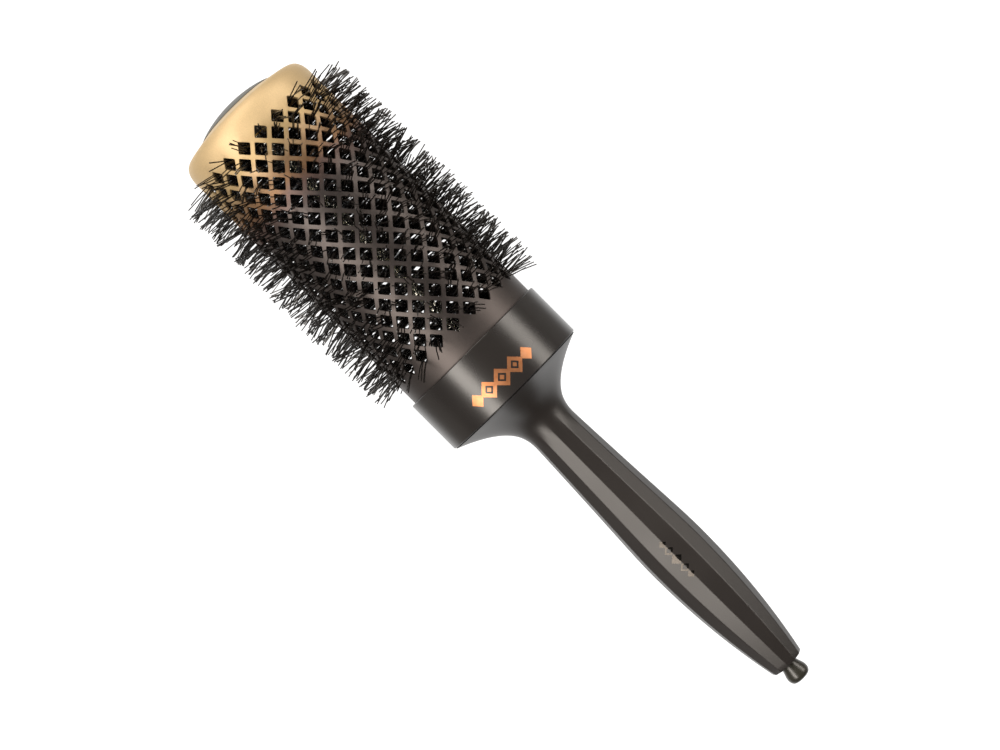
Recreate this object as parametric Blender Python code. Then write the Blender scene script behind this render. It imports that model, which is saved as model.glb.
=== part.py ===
"""Round barrel hair brush, as the separate pieces it is put together from.

A perforated aluminium barrel slides onto a spigot moulded on the front of the handle, where three
radial pins hold it and a loose collar hides the joint. Two steel wires are twisted together down the
middle of the barrel and clamp the bristle rows, whose tufts stand out through the diamond holes. A
domed cap plugs the barrel's front end. A steel sectioning pick is stored in the handle's tail, and
slides out by its knob.

The brush's axis is X, and +X points out of the barrel's front end. Stations along X are measured
from the collar's front face. The whole brush hangs on one empty that puts the middle of its bounding
box at the origin. Angles round the axis start at +Z, the side with a hole in the first row.
"""

import math

import bmesh
import bpy
from mathutils import Matrix, Vector

MM = 0.001

# Clearance kept between pieces that touch or nearly touch.
GAP = 0.3 * MM

# Barrel: a drawn aluminium tube with a rounded front shoulder.
BARREL_RADIUS = 26.5 * MM
BARREL_WALL = 0.8 * MM
HOLES_AROUND = 22
HOLE_ROWS = 23
HOLE_WIDTH = 5.3 * MM  # round the barrel
HOLE_LENGTH = 5.9 * MM  # along the barrel
ROW_PITCH = 3.94 * MM  # each row is turned half a hole against the next
REAR_BAND = 9.5 * MM  # collar to the middle of the rearmost row
FRONT_BAND = 6.0 * MM  # middle of the foremost row to the shoulder
SHOULDER_LENGTH = 5.5 * MM
SHOULDER_WIDTH = 3.0 * MM
SHOULDER_TURN = math.radians(82)  # how far the corner turns before it runs on into the front face
FACE_RISE = 2.0 * MM  # how far the conical front face stands out at its inner rim
FACE_RIM_RADIUS = 15.3 * MM

# Front cap: a domed plug with a socket for the wire core.
CAP_DOME_HEIGHT = 2.8 * MM
CAP_LAP = 0.7 * MM  # how far the cap's edge lies over the barrel's front face
CAP_WALL = 1.4 * MM
CAP_SKIRT_LENGTH = 5.0 * MM
CAP_SOCKET_WALL = 1.6 * MM
CAP_SOCKET_LENGTH = 9.0 * MM

# Core: two wires twisted together, with a crimped ferrule on each end.
WIRE_RADIUS = 1.0 * MM
WIRE_TURN = 2 * ROW_PITCH  # one turn of the twist to each pair of bristle rows
WIRE_POINTS_PER_TURN = 6
FERRULE_WALL = 0.7 * MM
FERRULE_LENGTH = 8.0 * MM

# Bristle rows: one tuft for each hole in a row.
BRISTLE_REACH = 10.0 * MM  # from the barrel's surface to the bristle tips
ROOT_WIDTH = 2.0 * MM
ROOT_DEPTH = 0.8 * MM
TIP_WIDTH = 3.0 * MM

# Collar over the joint between barrel and handle.
COLLAR_LENGTH = 20.3 * MM
COLLAR_WALL = 1.1 * MM
COLLAR_EDGE = 0.4 * MM

# Handle: spigot, flared hub and a twelve-sided grip.
GRIP_SIDES = 12
GRIP_TURN = math.radians(7.5)  # from the first column of holes to the nearest corner of the grip
SPIGOT_WALL = 2.2 * MM
SPIGOT_PAST_COLLAR = 2.0 * MM
HUB_FLOOR = 2.0 * MM
BOSS_WALL = 2.0 * MM
BOSS_LENGTH = 10.0 * MM
RIM_STEP = 0.3 * MM  # the hub's rim is this much smaller than the collar
NECK_RADIUS = 8.4 * MM
NECK_AT = 20.0 * MM  # stations on the handle are measured back from the collar's rear face
FACETS_FROM = 14.0 * MM
FACETS_FULL = 26.0 * MM
GRIP_FROM = 12.0 * MM
BELLY_RADIUS = 11.35 * MM
BELLY_AT = 76.0 * MM
TAIL_RADIUS = 6.2 * MM
HANDLE_LENGTH = 128.4 * MM
TAIL_CHAMFER = 0.5 * MM
FLARE_POWER = 2.6  # how sharply the hub narrows behind its rim
TAPER_POWER = 2.1  # how sharply the grip narrows behind its belly

# Pins that hold the barrel on the spigot.
BARREL_PINS = 3
BARREL_PIN_RADIUS = 1.2 * MM
BARREL_PIN_DEPTH = 4.2 * MM
BARREL_PIN_AT = 10.0 * MM  # behind the collar's front face

# Sectioning pick stored in the tail.
PICK_RADIUS = 1.2 * MM
PICK_LENGTH = 78.0 * MM
PICK_POINT = 9.0 * MM
PICK_IN_KNOB = 4.0 * MM
KNOB_BASE_RADIUS = 2.9 * MM
KNOB_RADIUS = 4.1 * MM
KNOB_FLAT_RADIUS = 2.9 * MM
KNOB_LENGTH = 6.7 * MM
GROMMET_WALL = 1.3 * MM
GROMMET_LENGTH = 4.0 * MM

# Sides of the turned shapes.
FINE_SIDES = 2 * HOLES_AROUND
HANDLE_SIDES = 2 * GRIP_SIDES
SMALL_SIDES = 12

# Sizes that follow from the ones above.
BARREL_BORE = BARREL_RADIUS - BARREL_WALL
LAST_ROW_X = REAR_BAND
FIRST_ROW_X = REAR_BAND + (HOLE_ROWS - 1) * ROW_PITCH
SHOULDER_X = FIRST_ROW_X + FRONT_BAND
FACE_RIM_X = SHOULDER_X + SHOULDER_LENGTH + FACE_RISE
CAP_RADIUS = FACE_RIM_RADIUS + CAP_LAP
CAP_EDGE_X = FACE_RIM_X + GAP
TIP_X = CAP_EDGE_X + CAP_DOME_HEIGHT
TWIST_RADIUS = WIRE_RADIUS + GAP / 2
CORE_RADIUS = TWIST_RADIUS + WIRE_RADIUS
FERRULE_BORE = CORE_RADIUS + GAP
FERRULE_RADIUS = FERRULE_BORE + FERRULE_WALL
SOCKET_BORE = FERRULE_RADIUS + GAP
SOCKET_FLOOR_X = CAP_EDGE_X - CAP_WALL
CORE_FRONT_X = SOCKET_FLOOR_X - GAP - WIRE_RADIUS  # the wires' slanted ends reach past this
COLLAR_RADIUS = BARREL_RADIUS + GAP + COLLAR_WALL
HUB_X = -COLLAR_LENGTH
RIM_RADIUS = COLLAR_RADIUS - RIM_STEP
SPIGOT_RADIUS = BARREL_BORE - GAP
HUB_FLOOR_X = HUB_X + HUB_FLOOR
BOSS_FRONT_X = HUB_FLOOR_X + BOSS_LENGTH
CORE_REAR_X = HUB_FLOOR_X + GAP + WIRE_RADIUS
TAIL_X = HUB_X - HANDLE_LENGTH
KNOB_FRONT_X = TAIL_X - GAP
REAR_X = KNOB_FRONT_X - KNOB_LENGTH
PICK_REAR_X = KNOB_FRONT_X - PICK_IN_KNOB
PICK_TIP_X = PICK_REAR_X + PICK_LENGTH
PICK_BORE = PICK_RADIUS + GAP
GROMMET_RADIUS = PICK_BORE + GROMMET_WALL
MIDDLE_X = (TIP_X + REAR_X) / 2
HOLE_TURN = 2 * math.pi / HOLES_AROUND

COLOURS = {  # name: colour, roughness, metallic
    "barrel_coating": ((0.30, 0.22, 0.17, 1), 0.35, 0.9),
    "cap_plastic": ((0.10, 0.10, 0.09, 1), 0.4, 0.0),
    "bristle_nylon": ((0.012, 0.011, 0.010, 1), 0.35, 0.0),
    "core_steel": ((0.55, 0.54, 0.52, 1), 0.3, 1.0),
    "ferrule_brass": ((0.60, 0.45, 0.20, 1), 0.35, 1.0),
    "collar_plastic": ((0.045, 0.042, 0.038, 1), 0.3, 0.0),
    "handle_plastic": ((0.050, 0.045, 0.043, 1), 0.4, 0.0),
    "pin_steel": ((0.50, 0.50, 0.50, 1), 0.3, 1.0),
    "grommet_rubber": ((0.02, 0.02, 0.02, 1), 0.8, 0.0),
}


def clear_scene():
    for old in list(bpy.data.objects):
        bpy.data.objects.remove(old, do_unlink=True)


def material(name):
    made = bpy.data.materials.get(name)
    if made:
        return made
    colour, roughness, metallic = COLOURS[name]
    made = bpy.data.materials.new(name)
    made.use_nodes = True
    shader = made.node_tree.nodes["Principled BSDF"]
    shader.inputs["Base Color"].default_value = colour
    shader.inputs["Roughness"].default_value = roughness
    shader.inputs["Metallic"].default_value = metallic
    made.diffuse_color = colour
    return made


def empty(name, x=0.0, parent=None):
    made = bpy.data.objects.new(name, None)
    bpy.context.scene.collection.objects.link(made)
    made.parent = parent
    made.location.x = x
    return made


def piece(name, data, finish, parent):
    """A named object from a mesh or a curve, with its material and parent."""
    made = bpy.data.objects.new(name, data)
    data.materials.append(material(finish))
    bpy.context.scene.collection.objects.link(made)
    made.parent = parent
    return made


def mesh_of(bm, name, smooth_angle=math.radians(30)):
    bm.normal_update()
    bmesh.ops.recalc_face_normals(bm, faces=bm.faces)
    mesh = bpy.data.meshes.new(name)
    bm.to_mesh(mesh)
    bm.free()
    mesh.shade_smooth()
    mesh.set_sharp_from_angle(angle=smooth_angle)
    return mesh


def on_axis(x, radius, angle):
    """A point at a station on the axis, out by a radius, at an angle that starts at +Z."""
    return Vector((x, radius * math.sin(angle), radius * math.cos(angle)))


def turned(name, outline, sides):
    """A mesh spun round the X axis from its section, a list of (x, radius).

    A section that starts and ends on the axis is solid, and any other is closed into a ring.
    """
    bm = bmesh.new()
    points = [bm.verts.new(on_axis(x, radius, 0)) for x, radius in outline]
    pairs = list(zip(points, points[1:]))
    if outline[0][1] > 0:
        pairs.append((points[-1], points[0]))
    edges = [bm.edges.new(pair) for pair in pairs]
    bmesh.ops.spin(
        bm,
        geom=points + edges,
        cent=(0, 0, 0),
        axis=(1, 0, 0),
        angle=2 * math.pi,
        steps=sides,
        use_merge=True,
    )
    bmesh.ops.remove_doubles(bm, verts=bm.verts, dist=1e-7)
    bmesh.ops.dissolve_degenerate(bm, edges=bm.edges, dist=1e-7)
    return mesh_of(bm, name)


def cut(target, cutter):
    """Takes a cutter's shape out of a piece, and keeps the cutter as a hidden guide."""
    cutter.hide_render = True
    cutter.display_type = "WIRE"
    boolean = target.modifiers.new("cut_" + cutter.name, "BOOLEAN")
    boolean.operation = "DIFFERENCE"
    boolean.solver = "EXACT"
    boolean.object = cutter


def smoothstep(value, low, high):
    share = min(1.0, max(0.0, (value - low) / (high - low)))
    return share * share * (3 - 2 * share)


# ---------------------------------------------------------------- barrel


def hole_angle(row, number):
    return (number + 0.5 * (row % 2)) * HOLE_TURN


def row_x(row):
    """Rows are counted from the front."""
    return FIRST_ROW_X - row * ROW_PITCH


def shoulder_outline(radius, rim_radius, shift):
    """The rounded corner and conical face at the barrel's front, from the tube to the rim."""
    corner_x = SHOULDER_X + SHOULDER_LENGTH - shift
    width = SHOULDER_WIDTH
    steps = 4
    points = []
    for step in range(1, steps + 1):
        turn = SHOULDER_TURN * step / steps
        x = SHOULDER_X + (corner_x - SHOULDER_X) * math.sin(turn)
        points.append((x, radius - width * (1 - math.cos(turn))))
    points.append((FACE_RIM_X - shift, rim_radius))
    return points


def barrel_skin(bm, radius):
    """One skin of the perforated length. Returns the corners of each hole and the two end rings."""
    half_turn = HOLE_WIDTH / 2 / radius
    corners = {}
    for row in range(HOLE_ROWS):
        for number in range(HOLES_AROUND):
            x, angle = row_x(row), hole_angle(row, number)
            corners[row, number] = {
                "front": bm.verts.new(on_axis(x + HOLE_LENGTH / 2, radius, angle)),
                "rear": bm.verts.new(on_axis(x - HOLE_LENGTH / 2, radius, angle)),
                "left": bm.verts.new(on_axis(x, radius, angle - half_turn)),
                "right": bm.verts.new(on_axis(x, radius, angle + half_turn)),
            }

    def hole(row, number):
        return corners[row, number % HOLES_AROUND]

    for row in range(HOLE_ROWS - 1):
        for number in range(HOLES_AROUND):
            here = hole(row, number)
            behind_right = hole(row + 1, number + row % 2)
            behind_left = hole(row + 1, number + row % 2 - 1)
            bm.faces.new((here["right"], here["rear"], behind_right["left"], behind_right["front"]))
            bm.faces.new((here["rear"], here["left"], behind_left["front"], behind_left["right"]))
            if row + 2 < HOLE_ROWS:
                far = hole(row + 2, number)
                bm.faces.new((here["rear"], behind_left["right"], far["front"], behind_right["left"]))

    def end_band(row, next_row, end, ring_x):
        """Fills between the zigzag edge of the last holes and a plain ring of vertices."""
        ring = [
            bm.verts.new(on_axis(ring_x, radius, hole_angle(row, step / 2)))
            for step in range(2 * HOLES_AROUND)
        ]
        for number in range(HOLES_AROUND):
            here, following = hole(row, number), hole(row, number + 1)
            between = hole(next_row, number + row % 2)
            first, middle = ring[2 * number], ring[2 * number + 1]
            last = ring[(2 * number + 2) % len(ring)]
            bm.faces.new((first, here[end], here["right"]))
            bm.faces.new((first, here["right"], middle))
            bm.faces.new((middle, here["right"], between[end]))
            bm.faces.new((middle, between[end], following["left"]))
            bm.faces.new((middle, following["left"], last))
            bm.faces.new((last, following["left"], following[end]))
        return ring

    last_row = HOLE_ROWS - 1
    front = end_band(0, 1, "front", SHOULDER_X)
    rear = end_band(last_row, last_row - 1, "rear", LAST_ROW_X - HOLE_LENGTH)
    return corners, front, rear


def bridge(bm, ring_a, ring_b):
    for index in range(len(ring_a)):
        after = (index + 1) % len(ring_a)
        bm.faces.new((ring_a[index], ring_a[after], ring_b[after], ring_b[index]))


def rings_along(bm, start, outline, row):
    """Carries a ring of vertices on through the (x, radius) points of an outline."""
    ring = start
    for x, radius in outline:
        following = [
            bm.verts.new(on_axis(x, radius, hole_angle(row, step / 2)))
            for step in range(2 * HOLES_AROUND)
        ]
        bridge(bm, ring, following)
        ring = following
    return ring


def barrel_mesh():
    bm = bmesh.new()
    rear_x = HUB_X + GAP
    outer, outer_front, outer_rear = barrel_skin(bm, BARREL_RADIUS)
    inner, inner_front, inner_rear = barrel_skin(bm, BARREL_BORE)
    for key, hole in outer.items():
        bored = inner[key]
        for one, other in (("front", "right"), ("right", "rear"), ("rear", "left"), ("left", "front")):
            bm.faces.new((hole[one], hole[other], bored[other], bored[one]))
    outside = shoulder_outline(BARREL_RADIUS, FACE_RIM_RADIUS, 0)
    inside = shoulder_outline(BARREL_BORE, FACE_RIM_RADIUS, BARREL_WALL)
    outer_rim = rings_along(bm, outer_front, outside, 0)
    inner_rim = rings_along(bm, inner_front, inside, 0)
    bridge(bm, outer_rim, inner_rim)
    last_row = HOLE_ROWS - 1
    outer_end = rings_along(bm, outer_rear, [(rear_x, BARREL_RADIUS)], last_row)
    inner_end = rings_along(bm, inner_rear, [(rear_x, BARREL_BORE)], last_row)
    bridge(bm, outer_end, inner_end)
    return mesh_of(bm, "barrel_tube", math.radians(20))


def radial_rod(name, radius, inner, outer, x, angle, sides):
    """A round rod that points out from the axis, between two distances from it."""
    bm = bmesh.new()
    bmesh.ops.create_cone(
        bm, cap_ends=True, segments=sides, radius1=radius, radius2=radius, depth=outer - inner
    )
    place = Matrix.Translation(on_axis(x, (inner + outer) / 2, angle))
    bm.transform(place @ Matrix.Rotation(-angle, 4, "X"))
    return mesh_of(bm, name)


def barrel_pin_angle(number):
    return (number + 0.5) * 2 * math.pi / BARREL_PINS


def pin_hole_cutter(parent):
    """All the pin holes as one cutter, long enough to go through the spigot and the barrel."""
    bm = bmesh.new()
    for number in range(BARREL_PINS):
        rod = radial_rod(
            "rod",
            BARREL_PIN_RADIUS + GAP,
            SPIGOT_RADIUS - 2 * SPIGOT_WALL,
            COLLAR_RADIUS,
            -BARREL_PIN_AT,
            barrel_pin_angle(number),
            SMALL_SIDES,
        )
        bm.from_mesh(rod)
    return piece("pin_holes", mesh_of(bm, "pin_holes"), "pin_steel", parent)


def build_barrel(brush, pin_holes):
    barrel = piece("barrel_tube", barrel_mesh(), "barrel_coating", brush)
    cut(barrel, pin_holes)
    top = BARREL_RADIUS - GAP / 3
    for number in range(BARREL_PINS):
        name = f"barrel_pin_{number + 1}"
        pin = radial_rod(
            name,
            BARREL_PIN_RADIUS,
            top - BARREL_PIN_DEPTH,
            top,
            -BARREL_PIN_AT,
            barrel_pin_angle(number),
            SMALL_SIDES,
        )
        piece(name, pin, "pin_steel", brush)


# ---------------------------------------------------------------- front cap


def cap_outline():
    """Half section of the cap: dome, lapping edge, skirt with a snap bead, and core socket."""
    dome = []
    steps = 5
    for step in range(steps + 1):
        radius = CAP_RADIUS * step / steps
        dome.append((TIP_X - CAP_DOME_HEIGHT * (radius / CAP_RADIUS) ** 2, radius))
    skirt = FACE_RIM_RADIUS - GAP
    skirt_rear = FACE_RIM_X - BARREL_WALL - CAP_SKIRT_LENGTH
    bead_x = FACE_RIM_X - BARREL_WALL - 2 * GAP
    socket_rear = SOCKET_FLOOR_X - CAP_SOCKET_LENGTH
    return dome + [
        (CAP_EDGE_X, skirt),
        (bead_x, skirt),
        (bead_x - GAP, skirt + GAP),
        (bead_x - 3 * GAP, skirt),
        (skirt_rear, skirt),
        (skirt_rear, skirt - CAP_WALL),
        (CAP_EDGE_X - CAP_WALL, skirt - CAP_WALL),
        (CAP_EDGE_X - CAP_WALL, SOCKET_BORE + CAP_SOCKET_WALL),
        (socket_rear, SOCKET_BORE + CAP_SOCKET_WALL),
        (socket_rear, SOCKET_BORE),
        (SOCKET_FLOOR_X, SOCKET_BORE),
        (SOCKET_FLOOR_X, 0.0),
    ]


def build_cap(brush):
    piece("front_cap", turned("front_cap", cap_outline(), 2 * SMALL_SIDES), "cap_plastic", brush)


# ---------------------------------------------------------------- core and bristles


def build_core(brush):
    """The two twisted wires and the ferrules crimped on their ends."""
    length = CORE_FRONT_X - CORE_REAR_X
    points = round(length / WIRE_TURN * WIRE_POINTS_PER_TURN)
    for number in range(2):
        name = f"core_wire_{number + 1}"
        wire = bpy.data.curves.new(name, "CURVE")
        wire.dimensions = "3D"
        wire.bevel_depth = WIRE_RADIUS
        wire.bevel_resolution = 1
        wire.use_fill_caps = True
        spline = wire.splines.new("POLY")
        spline.points.add(points)
        for step, point in enumerate(spline.points):
            x = CORE_REAR_X + length * step / points
            angle = math.pi * number - 2 * math.pi * (x - CORE_REAR_X) / WIRE_TURN
            point.co = (*on_axis(x, TWIST_RADIUS, angle), 1)
        piece(name, wire, "core_steel", brush)
    ends = {"front": CORE_FRONT_X - FERRULE_LENGTH, "rear": CORE_REAR_X}
    for end, x in ends.items():
        outline = [
            (x, FERRULE_BORE),
            (x + FERRULE_LENGTH, FERRULE_BORE),
            (x + FERRULE_LENGTH, FERRULE_RADIUS),
            (x, FERRULE_RADIUS),
        ]
        name = f"core_ferrule_{end}"
        piece(name, turned(name, outline, SMALL_SIDES), "ferrule_brass", brush)


def bristle_row_mesh(row):
    """A ring of packed bristle roots round the wires, with one wedge-shaped tuft to each hole.

    A tuft is thin round the barrel and widens along it towards its tip, as a fan of bristles does.
    """
    bm = bmesh.new()
    x = row_x(row)
    root_bore = CORE_RADIUS + GAP
    root_radius = root_bore + ROOT_DEPTH
    tip_radius = BARREL_RADIUS + BRISTLE_REACH
    teeth = []
    for number in range(HOLES_AROUND):
        angle = hole_angle(row, number)
        teeth.append(
            {
                "valley": bm.verts.new(on_axis(x, root_radius, angle - HOLE_TURN / 2)),
                "root_front": bm.verts.new(on_axis(x + ROOT_WIDTH / 2, root_bore, angle)),
                "root_rear": bm.verts.new(on_axis(x - ROOT_WIDTH / 2, root_bore, angle)),
                "tip_front": bm.verts.new(on_axis(x + TIP_WIDTH / 2, tip_radius, angle)),
                "tip_rear": bm.verts.new(on_axis(x - TIP_WIDTH / 2, tip_radius, angle)),
            }
        )
    for tooth, after in zip(teeth, teeth[1:] + teeth[:1]):
        for valley in (tooth["valley"], after["valley"]):
            bm.faces.new((valley, tooth["root_front"], tooth["tip_front"]))
            bm.faces.new((valley, tooth["tip_front"], tooth["tip_rear"]))
            bm.faces.new((valley, tooth["tip_rear"], tooth["root_rear"]))
        bm.faces.new((after["valley"], tooth["root_front"], after["root_front"]))
        bm.faces.new((after["valley"], tooth["root_rear"], after["root_rear"]))
        bm.faces.new((tooth["root_front"], after["root_front"], after["root_rear"], tooth["root_rear"]))
    return mesh_of(bm, f"bristle_row_{row + 1:02d}")


def build_bristles(brush):
    for row in range(HOLE_ROWS):
        piece(f"bristle_row_{row + 1:02d}", bristle_row_mesh(row), "bristle_nylon", brush)


# ---------------------------------------------------------------- collar and handle


def build_collar(brush):
    rear, bore = HUB_X + GAP, BARREL_RADIUS + GAP
    outline = [
        (rear, bore),
        (0.0, bore),
        (0.0, COLLAR_RADIUS - COLLAR_EDGE),
        (-COLLAR_EDGE, COLLAR_RADIUS),
        (rear + COLLAR_EDGE, COLLAR_RADIUS),
        (rear, COLLAR_RADIUS - COLLAR_EDGE),
    ]
    piece("collar", turned("collar", outline, FINE_SIDES), "collar_plastic", brush)


def grip_radius(back):
    """Radius over the handle's corners, at a distance back from the collar."""
    flare = max(0.0, 1 - back / NECK_AT) ** FLARE_POWER
    radius = NECK_RADIUS + (RIM_RADIUS - NECK_RADIUS) * flare
    if back <= BELLY_AT:
        share = max(0.0, (back - GRIP_FROM) / (BELLY_AT - GRIP_FROM))
        swell = share + share**6 * (1 - share)
        return radius + (BELLY_RADIUS - NECK_RADIUS) * swell
    share = (back - BELLY_AT) / (HANDLE_LENGTH - BELLY_AT)
    return BELLY_RADIUS - (BELLY_RADIUS - TAIL_RADIUS) * share**TAPER_POWER


def handle_ring(bm, x, radius, facets):
    """A ring of vertices: round where facets is 0, and a regular polygon where it is 1."""
    inset = 1 - facets * (1 - math.cos(math.pi / GRIP_SIDES))
    ring = []
    for step in range(HANDLE_SIDES):
        out = radius if step % 2 == 0 else radius * inset
        ring.append(bm.verts.new(on_axis(x, out, GRIP_TURN + step * math.pi / GRIP_SIDES)))
    return ring


def handle_stations():
    """Distances back from the collar: close together on the flare, and even along the grip."""
    flare = [NECK_AT * step / 8 for step in range(9)]
    belly = [NECK_AT + (BELLY_AT - NECK_AT) * step / 5 for step in range(1, 6)]
    taper_end = HANDLE_LENGTH - TAIL_CHAMFER
    taper = [BELLY_AT + (taper_end - BELLY_AT) * step / 5 for step in range(1, 6)]
    return flare + belly + taper


def handle_mesh():
    """The moulding from the spigot's open front to the tail, with its pick bore, as one skin."""
    bm = bmesh.new()
    spigot_front = SPIGOT_PAST_COLLAR
    spigot_bore = SPIGOT_RADIUS - SPIGOT_WALL
    boss_radius = SOCKET_BORE + BOSS_WALL
    grommet_seat = GROMMET_RADIUS + GAP
    grommet_floor = TAIL_X + GROMMET_LENGTH + GAP
    inside_front = [
        (HUB_FLOOR_X, SOCKET_BORE),
        (BOSS_FRONT_X, SOCKET_BORE),
        (BOSS_FRONT_X, boss_radius),
        (HUB_FLOOR_X, boss_radius),
        (HUB_FLOOR_X, spigot_bore),
        (spigot_front, spigot_bore),
        (spigot_front, SPIGOT_RADIUS),
        (HUB_X, SPIGOT_RADIUS),
    ]
    rings = [handle_ring(bm, x, radius, 0) for x, radius in inside_front]
    for back in handle_stations():
        facets = smoothstep(back, FACETS_FROM, FACETS_FULL)
        rings.append(handle_ring(bm, HUB_X - back, grip_radius(back), facets))
    rings.append(handle_ring(bm, TAIL_X, TAIL_RADIUS - TAIL_CHAMFER, 1))
    inside_tail = [
        (TAIL_X, grommet_seat),
        (grommet_floor, grommet_seat),
        (grommet_floor, PICK_BORE),
        (PICK_TIP_X + GAP, PICK_BORE),
    ]
    rings += [handle_ring(bm, x, radius, 0) for x, radius in inside_tail]
    for ring_a, ring_b in zip(rings, rings[1:]):
        bridge(bm, ring_a, ring_b)
    bm.faces.new(rings[0])
    bm.faces.new(rings[-1])
    return mesh_of(bm, "handle", math.radians(12))


def build_handle(brush, pin_holes):
    handle = piece("handle", handle_mesh(), "handle_plastic", brush)
    cut(handle, pin_holes)
    outline = [
        (TAIL_X, PICK_BORE),
        (TAIL_X + GROMMET_LENGTH, PICK_BORE),
        (TAIL_X + GROMMET_LENGTH, GROMMET_RADIUS),
        (TAIL_X, GROMMET_RADIUS),
    ]
    grommet = turned("pick_grommet", outline, SMALL_SIDES)
    piece("pick_grommet", grommet, "grommet_rubber", brush)


# ---------------------------------------------------------------- sectioning pick


def build_pick(brush):
    """The pick's own origin is on its sliding axis, at the knob's front face."""
    pick = empty("pick", KNOB_FRONT_X, brush)
    tip, rear = PICK_TIP_X - KNOB_FRONT_X, PICK_REAR_X - KNOB_FRONT_X
    steel = [(rear, 0.0), (rear, PICK_RADIUS), (tip - PICK_POINT, PICK_RADIUS), (tip, 0.0)]
    piece("pick_pin", turned("pick_pin", steel, SMALL_SIDES), "pin_steel", pick)
    bore = PICK_RADIUS + GAP
    waist, crown = -0.45 * KNOB_LENGTH, -0.85 * KNOB_LENGTH
    knob = [
        (rear - GAP, 0.0),
        (rear - GAP, bore),
        (0.0, bore),
        (0.0, KNOB_BASE_RADIUS),
        (waist, (KNOB_BASE_RADIUS + 2 * KNOB_RADIUS) / 3),
        ((waist + crown) / 2, KNOB_RADIUS),
        (crown, (KNOB_FLAT_RADIUS + 2 * KNOB_RADIUS) / 3),
        (-KNOB_LENGTH, KNOB_FLAT_RADIUS),
        (-KNOB_LENGTH, 0.0),
    ]
    piece("pick_knob", turned("pick_knob", knob, SMALL_SIDES), "handle_plastic", pick)


def main():
    clear_scene()
    brush = empty("brush", -MIDDLE_X)
    pin_holes = pin_hole_cutter(brush)
    build_barrel(brush, pin_holes)
    build_cap(brush)
    build_core(brush)
    build_bristles(brush)
    build_collar(brush)
    build_handle(brush, pin_holes)
    build_pick(brush)


main()
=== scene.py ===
"""How the round barrel brush looks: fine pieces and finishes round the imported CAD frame.

The brush's axis is X, and the barrel's front end points to +X. Angles round the axis start at +Z,
where the first bristle row has a tuft, and turn towards +Y.
"""

import math
import random

import bpy
from mathutils import Matrix, Vector


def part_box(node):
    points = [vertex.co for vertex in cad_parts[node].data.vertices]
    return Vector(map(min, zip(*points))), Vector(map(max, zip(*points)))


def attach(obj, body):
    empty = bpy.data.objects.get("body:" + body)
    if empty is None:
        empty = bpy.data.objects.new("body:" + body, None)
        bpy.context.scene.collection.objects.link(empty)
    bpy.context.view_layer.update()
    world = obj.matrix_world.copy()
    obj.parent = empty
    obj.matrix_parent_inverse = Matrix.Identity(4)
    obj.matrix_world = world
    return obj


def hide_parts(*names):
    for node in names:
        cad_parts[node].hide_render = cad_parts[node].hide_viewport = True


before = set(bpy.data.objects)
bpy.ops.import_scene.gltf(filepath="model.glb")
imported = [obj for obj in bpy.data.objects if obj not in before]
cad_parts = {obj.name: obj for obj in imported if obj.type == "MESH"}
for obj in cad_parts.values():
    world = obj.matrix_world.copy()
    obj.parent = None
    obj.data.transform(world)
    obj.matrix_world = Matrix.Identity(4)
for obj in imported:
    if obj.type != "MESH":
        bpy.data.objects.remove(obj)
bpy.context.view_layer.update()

MM = 0.001
GAP = 0.3 * MM

# ---------------------------------------------------------------- sizes from the CAD frame

ROWS = 23
COLUMNS = 22
HOLE_TURN = math.tau / COLUMNS
ROW_NODES = [f"bristle_row_{row + 1:02d}" for row in range(ROWS)]


def ends(node):
    low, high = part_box(node)
    return low.x, high.x


def turned_radius(node):
    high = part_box(node)[1]
    return max(high.y, high.z)


ROW_X = [sum(ends(name)) / 2 for name in ROW_NODES]
ROW_PITCH = (ROW_X[0] - ROW_X[-1]) / (ROWS - 1)
TIP_RADIUS = turned_radius(ROW_NODES[0])
BARREL_REAR, BARREL_FRONT = ends("barrel_tube")
BARREL_RADIUS = turned_radius("barrel_tube")
COLLAR_REAR, COLLAR_FRONT = ends("collar")
COLLAR_RADIUS = turned_radius("collar")
CAP_REAR, CAP_TIP = ends("front_cap")
CAP_RADIUS = turned_radius("front_cap")
WIRE_REAR, WIRE_FRONT = ends("core_wire_1")
TAIL_X, SPIGOT_FRONT = ends("handle")
HUB_X = COLLAR_REAR - GAP
KNOB_REAR, KNOB_FRONT = ends("pick_knob")
KNOB_RADIUS = turned_radius("pick_knob")
PIN_REAR, PIN_TIP = ends("pick_pin")
PIN_RADIUS = turned_radius("pick_pin")
GROMMET_REAR, GROMMET_FRONT = ends("pick_grommet")
GROMMET_RADIUS = turned_radius("pick_grommet")
FERRULE_RADIUS = turned_radius("core_ferrule_front")

# Sizes of the looks, which the frame doesn't give.
BARREL_WALL = 0.8 * MM
HOLE_HALF_WIDTH = 2.65 * MM  # round the barrel
HOLE_HALF_LENGTH = 2.95 * MM  # along the barrel
HOLE_ROUNDING = 0.35 * MM
HOLE_LIP = 0.12 * MM  # the eased edge round each hole
FRONT_BAND = 6.0 * MM  # first hole row to the barrel's shoulder
SHOULDER_LENGTH = 5.5 * MM
SHOULDER_WIDTH = 3.0 * MM
SHOULDER_TURN = math.radians(82)  # how far the corner turns before it runs into the front face
BAND_FROM = ROW_PITCH + 0.8 * MM  # from an end row to the first ring of the plain band
EDGE_EASE = 0.1 * MM  # on the barrel's cut ends and the cap's edge
CAP_LAP = 0.7 * MM  # how far the cap's edge lies over the barrel's front face
CAP_WALL = 1.4 * MM
CAP_SKIRT_LENGTH = 5.0 * MM
CAP_SOCKET_WALL = 1.7 * MM
WIRE_RADIUS = 1.0 * MM
TWIST_RADIUS = WIRE_RADIUS + GAP / 2
FILAMENT_RADIUS = 0.21 * MM
FILAMENTS_PER_HOLE = (4, 5)
FILAMENT_TRIM = (-1.3 * MM, 0.3 * MM)  # shortest and longest, against the bristles' full reach
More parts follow.
